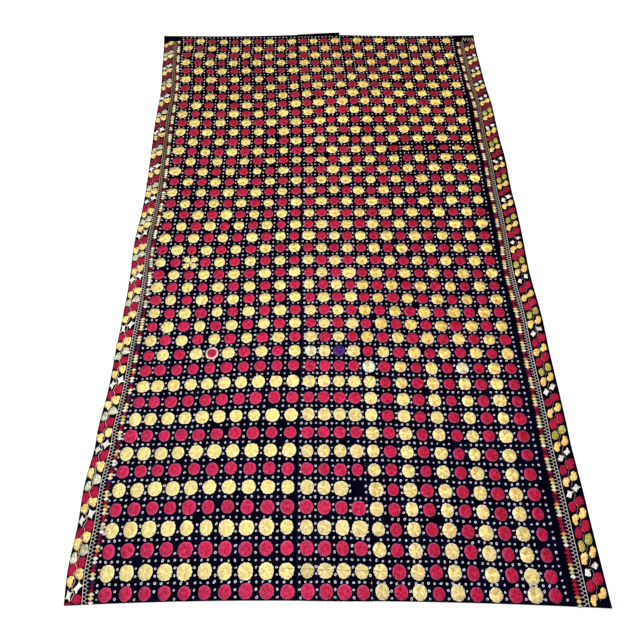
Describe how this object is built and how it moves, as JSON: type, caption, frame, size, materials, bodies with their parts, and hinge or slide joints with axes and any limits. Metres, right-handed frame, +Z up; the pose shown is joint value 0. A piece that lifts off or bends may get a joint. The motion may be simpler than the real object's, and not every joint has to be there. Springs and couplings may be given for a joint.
{
  "type": "phulkari",
  "caption": "Embroidered cotton shawl spread flat: navy panels sewn side by side, covered in rows of silk discs and eyelets, with embroidered side borders.",
  "frame": {"origin": "centre of the cloth's bounding box, on the floor that it lies on", "axes": "+Z up out of the embroidered face, +Y along the cloth from its near end to its far end, +X to the right"},
  "size_m": [1.3883, 2.234, 0.0085],
  "materials": {
    "navy_cotton": "matte plain weave",
    "yellow_silk": "glossy floss silk",
    "red_silk": "glossy floss silk",
    "white_thread": "satin cotton thread",
    "border_silk": "glossy floss silk in several colours"
  },
  "bodies": {
    "root": {"panel_left": "navy_cotton", "panel_middle": "navy_cotton", "panel_right": "navy_cotton"}
  },
  "joints": []
}
